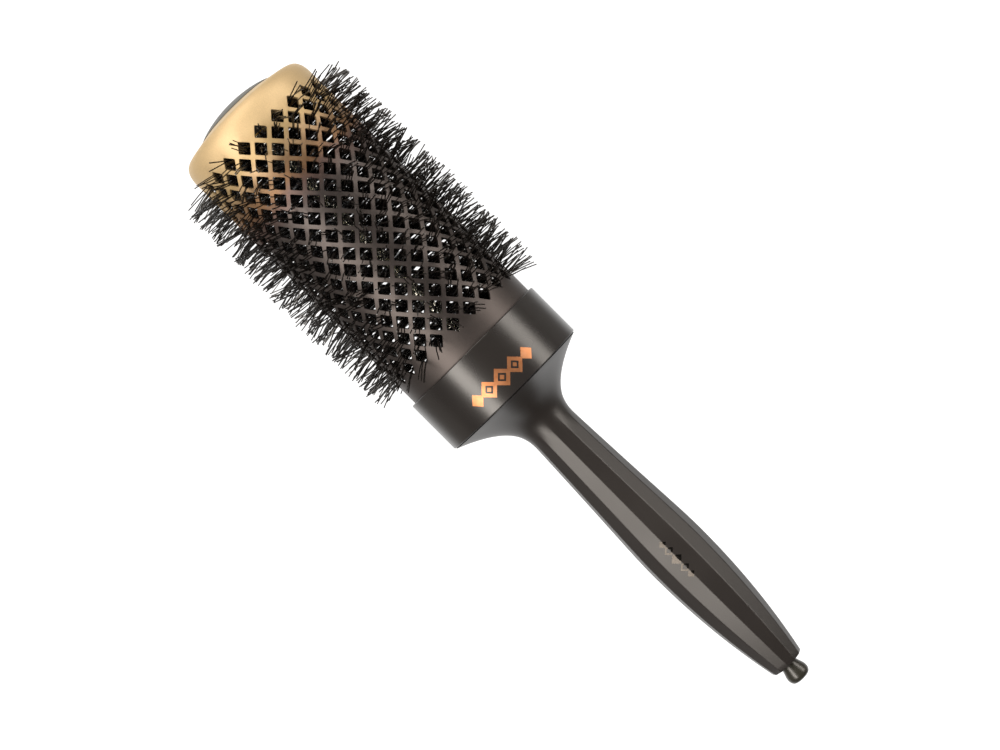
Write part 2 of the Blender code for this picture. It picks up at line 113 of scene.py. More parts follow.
TUFT_LEAN = 2.6 * MM  # how far along the brush a tuft's tips lean, either way
LAST_ROW_LEAN = -2.0 * MM  # the rearmost tufts also lean back towards the collar
TUFT_SWING = 0.2  # radians that a tuft's root is turned from its hole, either way
TIP_STRAY = 1.2 * MM  # how far along the brush one tip strays from its tuft's
CURL = 0.35 * MM
ROOT_SPREAD = 1.7 * MM
HOLE_SHARE = 0.84  # filaments keep to the inner share of their hole, clear of its edge
ROUND_SIDES = 160

# ---------------------------------------------------------------- shader helpers


def linear(hex_colour):
    """An sRGB hex colour as the linear RGBA that shaders take."""
    out = []
    for start_at in (1, 3, 5):
        value = int(hex_colour[start_at : start_at + 2], 16) / 255
        out.append(value / 12.92 if value <= 0.04045 else ((value + 0.055) / 1.055) ** 2.4)
    return (*out, 1.0)


def fill(tree, node, sockets):
    """Links each socket to an output or a node's first output, or sets it to a number or colour."""
    for socket, value in sockets.items():
        if isinstance(value, bpy.types.Node):
            value = value.outputs[0]
        if isinstance(value, bpy.types.NodeSocket):
            tree.links.new(value, node.inputs[socket])
        else:
            node.inputs[socket].default_value = value


def add(tree, kind, sockets, stops=(), **settings):
    """Adds a node with its own settings, what its sockets take, and a ramp's stops."""
    node = tree.nodes.new("ShaderNode" + kind)
    for key, value in settings.items():
        setattr(node, key, value)
    fill(tree, node, sockets)
    if stops:
        elements = node.color_ramp.elements
        while len(elements) < len(stops):
            elements.new(1.0)
        for element, (position, colour) in zip(elements, stops):
            element.position = position
            element.color = linear(colour)
    return node


def start(name):
    """A new material, its node tree and Principled BSDF, and each point's place in millimetres."""
    made = bpy.data.materials.new(name)
    made.use_nodes = True
    tree = made.node_tree
    metres = add(tree, "TexCoord", {}).outputs["Object"]
    place = add(tree, "VectorMath", {0: metres, "Scale": 1 / MM}, operation="SCALE")
    return made, tree, tree.nodes["Principled BSDF"], place


# ---------------------------------------------------------------- finishes

# A noise texture's values lie mostly in this range. Its Scale is 1 / the size of its lumps in mm,
# and a noise along the axis or round it is squeezed by factors for the axis and across it.
MIDDLE = {"From Min": 0.3, "From Max": 0.7}
GOLD_FROM = COLLAR_FRONT + 100.0 * MM  # stations between which the barrel's tint fades
BROWN_FROM = COLLAR_FRONT + 66.0 * MM
BARREL_TINTS = [
    (0.0, "#4a4442"),
    (0.12, "#4b4442"),
    (0.29, "#614e48"),
    (0.41, "#7b5d42"),
    (0.53, "#83694d"),
    (0.65, "#ab916e"),
    (0.76, "#b0976c"),
    (1.0, "#c3ab82"),
]


def blasted_aluminium():
    """Drawn aluminium tube, bead blasted, then sprayed with a tint that fades from gold to brown.

    The blasting gives broad soft highlights with a fine sparkle in them. Real bead marks are too
    fine to show, so they are drawn at 0.35 mm. The drawing leaves faint lines along the tube.
    """
    made, tree, shader, place = start("blasted_aluminium_gold_to_brown")
    x = add(tree, "SeparateXYZ", {"Vector": place})
    mist = add(tree, "TexNoise", {"Vector": place, "Scale": 1 / 9.0, "Detail": 3.0})
    drift = add(tree, "MapRange", {"Value": mist, **MIDDLE, "To Min": -1.5, "To Max": 1.5})
    station = add(tree, "Math", {0: x, 1: drift}, operation="ADD")
    reach = {"From Min": BROWN_FROM / MM, "From Max": GOLD_FROM / MM}
    fade = add(tree, "MapRange", {"Value": station, **reach})
    tint = add(tree, "ValToRGB", {"Fac": fade}, BARREL_TINTS)
    metal = add(tree, "MapRange", {"Value": fade, "To Min": 0.9, "To Max": 0.55})
    rough = add(tree, "MapRange", {"Value": fade, "To Min": 0.5, "To Max": 0.6})
    grit = {"Vector": place, "Scale": 1 / 0.35, "Detail": 3.0, "Roughness": 0.7}
    beads = add(tree, "TexNoise", grit)
    uneven = add(tree, "MapRange", {"Value": beads, **MIDDLE, "To Min": -0.04, "To Max": 0.04})
    sparkle = add(tree, "MapRange", {"Value": beads, **MIDDLE, "To Min": 0.90, "To Max": 1.10})
    along = add(tree, "VectorMath", {0: place, 1: (4.0, 0.25, 0.25)}, operation="MULTIPLY")
    lines = add(tree, "TexNoise", {"Vector": along, "Scale": 1 / 0.9})
    drawn = add(tree, "Bump", {"Height": lines, "Distance": 0.01 * MM, "Strength": 0.25})
    dents = {"Height": beads, "Normal": drawn, "Distance": 0.02 * MM, "Strength": 0.5}
    sockets = {
        "Base Color": add(tree, "HueSaturation", {"Color": tint, "Value": sparkle}),
        "Metallic": metal,
        "Roughness": add(tree, "Math", {0: rough, 1: uneven}, operation="ADD"),
        "Normal": add(tree, "Bump", dents),
        "Coat Weight": 0.2,
        "Coat Roughness": 0.4,
    }
    fill(tree, shader, sockets)
    return made


def drawn_nylon():
    """Extruded black nylon filament: a smooth thread with a narrow bright sheen along it."""
    made, tree, shader, place = start("drawn_black_nylon")
    shade = add(tree, "TexNoise", {"Vector": place, "Scale": 1 / 1.5})
    ripple = add(tree, "TexNoise", {"Vector": place, "Scale": 1 / 0.25})
    sockets = {
        "Base Color": add(tree, "ValToRGB", {"Fac": shade}, [(0.3, "#0b0908"), (0.7, "#16120f")]),
        "Roughness": add(tree, "MapRange", {"Value": shade, **MIDDLE, "To Min": 0.20, "To Max": 0.34}),
        "Normal": add(tree, "Bump", {"Height": ripple, "Distance": 0.01 * MM, "Strength": 0.3}),
        "IOR": 1.53,
    }
    fill(tree, shader, sockets)
    return made


def drawn_steel(name, dark, light, smoothest, roughest):
    """Drawn or ground steel: fine scratches along the axis and a little tarnish in patches."""
    made, tree, shader, place = start(name)
    along = add(tree, "VectorMath", {0: place, 1: (0.3, 3.0, 3.0)}, operation="MULTIPLY")
    scratches = add(tree, "TexNoise", {"Vector": along, "Scale": 1 / 0.5, "Detail": 3.0})
    tarnish = add(tree, "TexNoise", {"Vector": place, "Scale": 1 / 3.0, "Detail": 4.0})
    gloss = {"Value": scratches, **MIDDLE, "To Min": smoothest, "To Max": roughest}
    sockets = {
        "Base Color": add(tree, "ValToRGB", {"Fac": tarnish}, [(0.3, dark), (0.7, light)]),
        "Roughness": add(tree, "MapRange", gloss),
        "Normal": add(tree, "Bump", {"Height": scratches, "Distance": 0.01 * MM, "Strength": 0.3}),
        "Metallic": 1.0,
    }
    fill(tree, shader, sockets)
    return made


def crimped_brass():
    """Turned brass tube, crimped: warm metal with lathe rings round it."""
    made, tree, shader, place = start("crimped_turned_brass")
    around = add(tree, "VectorMath", {0: place, 1: (4.0, 0.1, 0.1)}, operation="MULTIPLY")
    rings = add(tree, "TexNoise", {"Vector": around, "Scale": 1 / 0.8})
    patches = add(tree, "TexNoise", {"Vector": place, "Scale": 1 / 2.0})
    sockets = {
        "Base Color": add(tree, "ValToRGB", {"Fac": patches}, [(0.3, "#a8854a"), (0.7, "#cdb06c")]),
        "Roughness": add(tree, "MapRange", {"Value": rings, **MIDDLE, "To Min": 0.25, "To Max": 0.4}),
        "Normal": add(tree, "Bump", {"Height": rings, "Distance": 0.02 * MM, "Strength": 0.3}),
        "Metallic": 1.0,
    }
    fill(tree, shader, sockets)
    return made


def moulded_plastic(name, dark, light, roughness, texture_mm, depth_mm, ior):
    """Injection-moulded plastic with a spark-eroded tool texture, a little uneven in its gloss.

    The texture breaks the reflections up finely, and is drawn as coarse as it needs to show. Rubbed
    patches about 22 mm across shine a little more.
    """
    made, tree, shader, place = start(name)
    texture = add(tree, "TexNoise", {"Vector": place, "Scale": 1 / texture_mm})
    rubbed = add(tree, "TexNoise", {"Vector": place, "Scale": 1 / 22.0, "Detail": 1.0})
    gloss = {"Value": rubbed, **MIDDLE, "To Min": roughness[0], "To Max": roughness[1]}
    sparks = {"Height": texture, "Distance": depth_mm * MM, "Strength": 0.5}
    sockets = {
        "Base Color": add(tree, "ValToRGB", {"Fac": rubbed}, [(0.3, dark), (0.7, light)]),
        "Roughness": add(tree, "MapRange", gloss),
        "Normal": add(tree, "Bump", sparks),
        "IOR": ior,
    }
    fill(tree, shader, sockets)
    return made


def moulded_rubber():
    """Moulded black rubber: dull, with a dusty bloom."""
    made, tree, shader, place = start("moulded_black_rubber")
    bloom = add(tree, "TexNoise", {"Vector": place, "Scale": 1 / 1.2, "Detail": 4.0})
    pores = add(tree, "TexNoise", {"Vector": place, "Scale": 1 / 0.2})
    sockets = {
        "Base Color": add(tree, "ValToRGB", {"Fac": bloom}, [(0.3, "#171615"), (0.7, "#2a2826")]),
        "Roughness": add(tree, "MapRange", {"Value": bloom, **MIDDLE, "To Min": 0.7, "To Max": 0.9}),
        "Normal": add(tree, "Bump", {"Height": pores, "Distance": 0.02 * MM, "Strength": 0.4}),
        "IOR": 1.5,
    }
    fill(tree, shader, sockets)
    return made


def stamped_foil(name, dark, light, smoothest, roughest):
    """Hot-stamped metal foil: thin bright metal that keeps a trace of the plastic's texture."""
    made, tree, shader, place = start(name)
    crinkle = add(tree, "TexNoise", {"Vector": place, "Scale": 1 / 0.5, "Detail": 3.0})
    patches = add(tree, "TexNoise", {"Vector": place, "Scale": 1 / 4.0})
    gloss = {"Value": crinkle, **MIDDLE, "To Min": smoothest, "To Max": roughest}
    sockets = {
        "Base Color": add(tree, "ValToRGB", {"Fac": patches}, [(0.3, dark), (0.7, light)]),
        "Roughness": add(tree, "MapRange", gloss),
        "Normal": add(tree, "Bump", {"Height": crinkle, "Distance": 0.01 * MM, "Strength": 0.3}),
        "Metallic": 1.0,
    }
    fill(tree, shader, sockets)
    return made


ABS_IOR = 1.53
BARREL_COAT = blasted_aluminium()
NYLON = drawn_nylon()
CORE_STEEL = drawn_steel("drawn_steel_wire", "#d4d1c2", "#efece0", 0.18, 0.28)
PIN_STEEL = drawn_steel("ground_steel", "#8c8c8b", "#aaaaa8", 0.16, 0.3)
BRASS = crimped_brass()
CAP_PLASTIC = moulded_plastic(
    "moulded_abs_olive_grey", "#42413a", "#4b4a42", (0.46, 0.52), 0.4, 0.01, ABS_IOR
)
COLLAR_PLASTIC = moulded_plastic(
    "polished_abs_dark_grey", "#1f1c1b", "#221f1d", (0.26, 0.29), 0.5, 0.002, ABS_IOR
)
HANDLE_COAT = moulded_plastic(
    "soft_touch_coated_abs", "#1f1b19", "#221e1c", (0.38, 0.42), 0.3, 0.004, 1.5
)
KNOB_PLASTIC = moulded_plastic(
    "moulded_abs_dark_olive", "#24231d", "#2a2922", (0.28, 0.34), 0.4, 0.002, ABS_IOR
)
RUBBER = moulded_rubber()
COPPER_FOIL = stamped_foil("stamped_copper_foil", "#a96d46", "#bb8460", 0.42, 0.5)
GREY_FOIL = stamped_foil("stamped_smoke_foil", "#35322f", "#3d3a37", 0.22, 0.3)

# ---------------------------------------------------------------- shape helpers


def on_axis(x, radius, angle):
    return (x, radius * math.sin(angle), radius * math.cos(angle))


def piece(name, verts, faces, material, body, stands_for=(), sharp=30):
    """A named mesh piece that rides on a body, takes a slot's finish and may stand for CAD nodes."""
    mesh = bpy.data.meshes.new(name)
    mesh.from_pydata(verts, [], faces)
    mesh.validate()
    mesh.shade_smooth()
    mesh.set_sharp_from_angle(angle=math.radians(sharp))
    mesh.materials.append(material)
    made = bpy.data.objects.new(name, mesh)
    bpy.context.scene.collection.objects.link(made)
    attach(made, body)
    if stands_for:
        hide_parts(*stands_for)
    return made


def filleted(outline, steps=5):
    """Rounds the corners of an outline of (x, radius, rounding) points, each by its own rounding."""
    out = []
    last = len(outline) - 1
    for index, (x, radius, rounding) in enumerate(outline):
        corner = Vector((x, radius))
        if rounding <= 0 or index in (0, last):
            out.append(corner)
            continue
        before = Vector(outline[index - 1][:2]) - corner
        after = Vector(outline[index + 1][:2]) - corner
        reach = min(rounding, 0.45 * before.length, 0.45 * after.length)
        first = corner + before.normalized() * reach
        final = corner + after.normalized() * reach
        for step in range(steps + 1):
            t = step / steps
            out.append(first * (1 - t) ** 2 + corner * 2 * t * (1 - t) + final * t * t)
    return [tuple(point) for point in out]


def skinned(rings):
    """Vertices and faces of a skin from each ring of points to the next, open at both ends."""
    count = len(rings[0])
    verts = [point for ring in rings for point in ring]
    faces = []
    for ring in range(len(rings) - 1):
        base, above = ring * count, (ring + 1) * count
        for side in range(count):
            after = (side + 1) % count
            faces.append((base + side, above + side, above + after, base + after))
    return verts, faces


def turned(name, outline, material, body, stands_for=(), sides=ROUND_SIDES, sharp=30):
    """A turned piece from its outline, clockwise seen with X to the right and the radius up.

    An outline that starts and ends on the axis makes a solid, and any other is closed to a ring.
    """
    points = filleted(outline)
    solid = points[0][1] < 1e-6
    body_points = points[1:-1] if solid else points + [points[0]]
    angles = [math.tau * side / sides for side in range(sides)]
    rings = [[on_axis(x, radius, angle) for angle in angles] for x, radius in body_points]
    verts, faces = skinned(rings)
    if solid:
        for apex, ring, flip in ((points[0], 0, False), (points[-1], len(rings) - 1, True)):
            verts.append((apex[0], 0.0, 0.0))
            tip = len(verts) - 1
            for side in range(sides):
                a, b = ring * sides + side, ring * sides + (side + 1) % sides
                faces.append((tip, b, a) if flip else (tip, a, b))
    else:
        shift = (len(rings) - 1) * sides
        faces = [tuple(v - shift if v >= shift else v for v in face) for face in faces]
        verts = verts[:shift]
    return piece(name, verts, faces, material, body, stands_for, sharp)


# ---------------------------------------------------------------- barrel


def hole_outline():
    """The rounded diamond and, facing each of its points, the point on the cell round it.

    Both are (along, round) distances from the hole's middle, starting at the front corner.
    """
    inner, outer = [], []
    long, wide = HOLE_HALF_LENGTH, HOLE_HALF_WIDTH
    slope = math.hypot(long, wide)
    shrink = 1 - HOLE_ROUNDING * slope / (long * wide)
    normal = (wide / slope, long / slope)
    signs = [(1, 1), (-1, 1), (-1, -1), (1, -1)]
    corners = [(1, 0), (0, 1), (-1, 0), (0, -1)]
    for index, (along, around) in enumerate(corners):
        core = (along * long * shrink, around * wide * shrink)
        into = signs[index - 1]
        out_of = signs[index]
        before = (into[0] * normal[0], into[1] * normal[1])
        after = (out_of[0] * normal[0], out_of[1] * normal[1])
        for way in (before, (along, around), after):
            inner.append((core[0] + HOLE_ROUNDING * way[0], core[1] + HOLE_ROUNDING * way[1]))
        following = corners[(index + 1) % 4]
        middle = (
            (core[0] + following[0] * long * shrink) / 2 + HOLE_ROUNDING * after[0],
            (core[1] + following[1] * wide * shrink) / 2 + HOLE_ROUNDING * after[1],
        )
        inner.append(middle)
        previous = corners[index - 1]
        cell = [0.25, 0.0, 0.25, 0.5]
        toward = [previous, following, following, following]
        for share, other in zip(cell, toward):
            outer.append(
                (
                    ROW_PITCH * (along * (1 - share) + other[0] * share),
                    BARREL_RADIUS * HOLE_TURN / 2 * (around * (1 - share) + other[1] * share),
                )
            )
    return inner, outer


def barrel():
    """The perforated tube: a mesh cell round each hole, plain bands at the ends and the shoulder."""
    bore = BARREL_RADIUS - BARREL_WALL
    verts, faces, known = [], [], {}

    def vertex(x, radius, angle):
        """A vertex at a place, shared by all the cells that meet there."""
        key = (round(x * 1e7), round(radius * 1e7), round((angle % math.tau) * 1e6) % 6283185)
        if key not in known:
            known[key] = len(verts)
            verts.append(on_axis(x, radius, angle))
        return known[key]

    inner, outer = hole_outline()
    count = len(inner)
    grow = 1 + HOLE_LIP / HOLE_HALF_WIDTH
    for row in range(ROWS):
        for column in range(COLUMNS):
            angle = (column + 0.5 * (row % 2)) * HOLE_TURN
            rings = []
            for points, scale, radius in (
                (outer, 1.0, BARREL_RADIUS),
                (inner, grow, BARREL_RADIUS),
                (inner, 1.0, BARREL_RADIUS - HOLE_LIP),
                (inner, 1.0, bore),
                (outer, 1.0, bore),
            ):
                ring = []
                for along, around in points:
                    turn = angle + around * scale / BARREL_RADIUS
                    ring.append(vertex(ROW_X[row] + along * scale, radius, turn))
                rings.append(ring)
            for one, other in zip(rings, rings[1:]):
                for step in range(count):
                    after = (step + 1) % count
                    faces.append((one[step], other[step], other[after], one[after]))

    def zigzag(row, side, radius):
        """The free edge of an end row's cells, in order round the barrel: side is 1 in front."""
        edge = []
        for step in range(COLUMNS * 8):
            turn = step / 8
            share = abs((turn % 1) - 0.5) * 2
            offset = (turn + 0.5 * (row % 2)) * HOLE_TURN
            along = ROW_PITCH * share
            edge.append((vertex(ROW_X[row] + side * along, radius, offset), offset))
        return edge

    def carry(edge, outline, outward):
        """Skins from an edge on through rings at the outline's (x, radius) points."""
        current = [index for index, _ in edge]
        angles = [angle for _, angle in edge]
        for x, radius in outline:
            following = [vertex(x, radius, angle) for angle in angles]
            for side in range(len(current)):
                after = (side + 1) % len(current)
                face = (current[side], following[side], following[after], current[after])
                faces.append(face if outward else face[::-1])
            current = following
        return current

    shoulder = ROW_X[0] + FRONT_BAND
    corner_x = shoulder + SHOULDER_LENGTH
    rim_radius = CAP_RADIUS - CAP_LAP

    def front_outline(radius, wall):
        """From the last holes round the shoulder and up the conical face, short of its rim."""
        points = [(ROW_X[0] + BAND_FROM, radius), (shoulder, radius)]
        steps = 14
        for step in range(1, steps + 1):
            turn = SHOULDER_TURN * step / steps
            x = shoulder + (corner_x - wall - shoulder) * math.sin(turn)
            points.append((x, radius - SHOULDER_WIDTH * (1 - math.cos(turn))))
        last_x, last_radius = points[-1]
        for share in (0.35, 0.7, 0.93):
            x = last_x + (BARREL_FRONT - wall - last_x) * share
            points.append((x, last_radius + (rim_radius - last_radius) * share))
        return points

    outside = front_outline(BARREL_RADIUS, 0.0)
    inside = front_outline(bore, BARREL_WALL)
    rim = [
        (BARREL_FRONT - EDGE_EASE, rim_radius + EDGE_EASE),
        (BARREL_FRONT - 3 * EDGE_EASE, rim_radius),
    ]
    carry(zigzag(0, 1, BARREL_RADIUS), outside + rim + inside[::-1], True)
    carry(zigzag(0, 1, bore), inside[:1], False)
    rear_band = ROW_X[-1] - BAND_FROM
    end = BARREL_REAR
    loop = [
        (rear_band, BARREL_RADIUS),
        (end + EDGE_EASE, BARREL_RADIUS),
        (end, BARREL_RADIUS - EDGE_EASE),
        (end, bore),
        (rear_band, bore),
    ]
    carry(zigzag(ROWS - 1, -1, BARREL_RADIUS), loop, False)
    carry(zigzag(ROWS - 1, -1, bore), loop[-1:], True)
    piece("barrel_shell", verts, faces, BARREL_COAT, "brush", ["barrel_tube"], 20)


# ---------------------------------------------------------------- cap, core and bristles


def front_cap():
    """The domed plug, whose edge curves down onto the barrel's front face."""
    edge = BARREL_FRONT
    steps = 25
    dome = []
    for step in range(1, steps):
        share = math.sin(math.pi / 2 * step / steps)
        dome.append((edge + (CAP_TIP - edge) * (1 - share**2) ** 0.85, CAP_RADIUS * share, 0))
    skirt = CAP_RADIUS - CAP_LAP - GAP
    skirt_rear = edge - BARREL_WALL - CAP_SKIRT_LENGTH
    floor = edge - CAP_WALL
    bore = FERRULE_RADIUS + GAP
    outline = [
        (CAP_TIP, 0.0, 0),
        *dome,
        (edge - EDGE_EASE, CAP_RADIUS, 0),
        (edge, skirt, 0),
        (skirt_rear, skirt, 0.3 * MM),
        (skirt_rear, skirt - CAP_WALL, 0.3 * MM),
        (floor, skirt - CAP_WALL, 0.5 * MM),
        (floor, bore + CAP_SOCKET_WALL, 0.5 * MM),
        (CAP_REAR, bore + CAP_SOCKET_WALL, 0.3 * MM),
        (CAP_REAR, bore, 0.2 * MM),
        (floor, bore, 0),
        (floor, 0.0, 0),
    ]
    turned("cap_dome", outline, CAP_PLASTIC, "brush", ["front_cap"])


def core_wires():
    """Two round wires in a tight twist, with a turn to each pair of bristle rows."""
    steps = round((WIRE_FRONT - WIRE_REAR) / (2 * ROW_PITCH) * 24)
    length = WIRE_FRONT - WIRE_REAR - WIRE_RADIUS
    sides = 12
    for number in range(2):
        rings = []
        for step in range(steps + 1):
            x = WIRE_REAR + WIRE_RADIUS / 2 + length * step / steps
            turn = math.pi * number - math.pi * (x - WIRE_REAR) / ROW_PITCH
            centre = Vector(on_axis(x, TWIST_RADIUS, turn))
            out = Vector((0.0, math.sin(turn), math.cos(turn)))
            around = Vector((0.0, math.cos(turn), -math.sin(turn)))
            run = (Vector((ROW_PITCH, 0, 0)) - around * math.pi * TWIST_RADIUS).normalized()
            side_way = run.cross(out)
            ring = []
            for side in range(sides):
                angle = math.tau * side / sides
                spoke = out * math.cos(angle) + side_way * math.sin(angle)
                ring.append(tuple(centre + spoke * WIRE_RADIUS))
            rings.append(ring)
        verts, faces = skinned(rings)
        faces += [tuple(range(sides)), tuple(range(len(verts) - 1, len(verts) - 1 - sides, -1))]
        node = f"core_wire_{number + 1}"
        piece(f"twisted_wire_{number + 1}", verts, faces, CORE_STEEL, "brush", [node], 60)


def ferrules():
    """The brass tubes crimped on the core's two ends."""
    for end in ("front", "rear"):
        node = f"core_ferrule_{end}"
        low, high = ends(node)
        bore = WIRE_RADIUS + TWIST_RADIUS + GAP
        outline = [
            (low, bore, 0),
            (low, FERRULE_RADIUS, 0.2 * MM),
            (high, FERRULE_RADIUS, 0.2 * MM),
            (high, bore, 0.1 * MM),
        ]
        turned(f"ferrule_{end}", outline, BRASS, "brush", [node], 32)


def filament(verts, faces, points, radius, sides=5):
    """A thin straight-cut thread through the points."""
    base = len(verts)
    last = len(points) - 1
    for index, point in enumerate(points):
        run = (points[min(index + 1, last)] - points[max(index - 1, 0)]).normalized()
        across = run.cross(Vector((1.0, 0.3, 0.2))).normalized()
        up = run.cross(across)
        for side in range(sides):
            angle = math.tau * side / sides
            verts.append(tuple(point + (across * math.cos(angle) + up * math.sin(angle)) * radius))
    for index in range(last):
        low, high = base + index * sides, base + (index + 1) * sides
        for side in range(sides):
            after = (side + 1) % sides
            faces.append((low + side, low + after, high + after, high + side))
    faces.append(tuple(base + side for side in reversed(range(sides))))
    faces.append(tuple(base + last * sides + side for side in range(sides)))


def bristles():
    """Loose filaments, a small bunch to each hole, that fan and cross as they come out of it."""
    rng = random.Random(11)
    root_radius = WIRE_RADIUS + TWIST_RADIUS - 0.5 * MM
    for row, node in enumerate(ROW_NODES):
        verts, faces = [], []
        for column in range(COLUMNS):
            angle = (column + 0.5 * (row % 2)) * HOLE_TURN
            lean = rng.uniform(-TUFT_LEAN, TUFT_LEAN)
            if row == ROWS - 1:
                lean += LAST_ROW_LEAN
            swing = rng.uniform(-TUFT_SWING, TUFT_SWING)
            bunch_along, bunch_around = rng.uniform(-0.35, 0.35), rng.uniform(-0.3, 0.3)
            for _ in range(rng.randint(*FILAMENTS_PER_HOLE)):
                while True:  # until the filament's place lies inside the diamond
                    along = bunch_along + rng.uniform(-0.6, 0.6)
                    around = bunch_around + rng.uniform(-0.45, 0.45)
                    if abs(along) + abs(around) < HOLE_SHARE:
                        break
                at_hole = angle + around * HOLE_HALF_WIDTH / BARREL_RADIUS
                hole_x = ROW_X[row] + along * HOLE_HALF_LENGTH
                hole = Vector(on_axis(hole_x, BARREL_RADIUS - BARREL_WALL / 2, at_hole))
                root_x = ROW_X[row] + rng.uniform(-ROOT_SPREAD, ROOT_SPREAD)
                root_turn = angle + swing + rng.uniform(-TUFT_SWING, TUFT_SWING)
                root = Vector(on_axis(root_x, root_radius, root_turn))
                bend = Vector((lean + rng.uniform(-TIP_STRAY, TIP_STRAY), 0.0, 0.0))
                way = (hole - root).normalized()
                reach = TIP_RADIUS - BARREL_RADIUS + rng.uniform(*FILAMENT_TRIM)
                outward = Vector((0.0, math.sin(at_hole), math.cos(at_hole)))
                length = reach / max(0.6, way.dot(outward))
                curl = Vector([rng.uniform(-CURL, CURL) for _ in range(3)])
                points = [
                    root,
                    root.lerp(hole, 0.5) + curl,
                    hole,
                    hole + way * length * 0.5 - curl * 0.4 + bend * 0.42,
                    hole + way * length - curl * rng.uniform(0.5, 1.5) + bend,
                ]
                filament(verts, faces, points, FILAMENT_RADIUS * rng.uniform(0.88, 1.08))
        piece(f"bristles_{row + 1:02d}", verts, faces, NYLON, "brush", [node], 60)


# ---------------------------------------------------------------- collar and handle


def collar():
    """The plain ring over the joint between barrel and handle."""
    bore = BARREL_RADIUS + GAP
    outline = [
        (COLLAR_REAR, bore, 0),
        (COLLAR_REAR, COLLAR_RADIUS, 0.35 * MM),
        (COLLAR_FRONT, COLLAR_RADIUS, 0.45 * MM),
        (COLLAR_FRONT, bore, 0.2 * MM),
    ]
    turned("collar_ring", outline, COLLAR_PLASTIC, "brush", ["collar"], 256)


GRIP_SIDES = 12
GRIP_TURN = math.radians(7.5)
NECK_RADIUS = 8.4 * MM
NECK_AT = 20.0 * MM  # stations on the handle are measured back from the collar's rear face
FACETS_FROM = 14.0 * MM
FACETS_FULL = 24.0 * MM
GRIP_FROM = 12.0 * MM
BELLY_RADIUS = 11.35 * MM
BELLY_AT = 76.0 * MM
TAIL_RADIUS = 6.2 * MM
RIM_RADIUS = COLLAR_RADIUS - 0.3 * MM
HANDLE_LENGTH = HUB_X - TAIL_X
FLARE_POWER = 2.6  # how sharply the hub narrows behind its rim
TAPER_POWER = 2.1  # how sharply the grip narrows behind its belly
CORNER_EASE = 0.9965  # each corner of the grip is eased to this share of its radius
SPIGOT_WALL = 2.2 * MM
HUB_FLOOR = 2.0 * MM
BOSS_WALL = 2.0 * MM
BOSS_LENGTH = 10.0 * MM
TAIL_ROUNDING = 0.5 * MM


def smoothstep(value, low, high):
    """Rises gently from 0 at low to 1 at high."""
    share = min(1.0, max(0.0, (value - low) / (high - low)))
    return share * share * (3 - 2 * share)


def grip_radius(back):
    """Radius over the handle's corners, at a distance back from the collar."""
    flare = max(0.0, 1 - back / NECK_AT) ** FLARE_POWER
    radius = NECK_RADIUS + (RIM_RADIUS - NECK_RADIUS) * flare
    if back <= BELLY_AT:
        share = max(0.0, (back - GRIP_FROM) / (BELLY_AT - GRIP_FROM))
        return radius + (BELLY_RADIUS - NECK_RADIUS) * (share + share**6 * (1 - share))
    share = (back - BELLY_AT) / (HANDLE_LENGTH - BELLY_AT)
    return BELLY_RADIUS - (BELLY_RADIUS - TAIL_RADIUS) * share**TAPER_POWER


def grip_surface(back, angle):
    """Radius of the handle's skin: round at the flare, and twelve flats with eased corners behind."""
    radius = grip_radius(back)
    facets = smoothstep(back, FACETS_FROM, FACETS_FULL)
    sector = math.tau / GRIP_SIDES
    off_flat = abs((angle - GRIP_TURN) % sector - sector / 2)
    flat = radius * math.cos(sector / 2) / math.cos(off_flat)
    flat = min(flat, radius * CORNER_EASE)
    return radius + (flat - radius) * facets


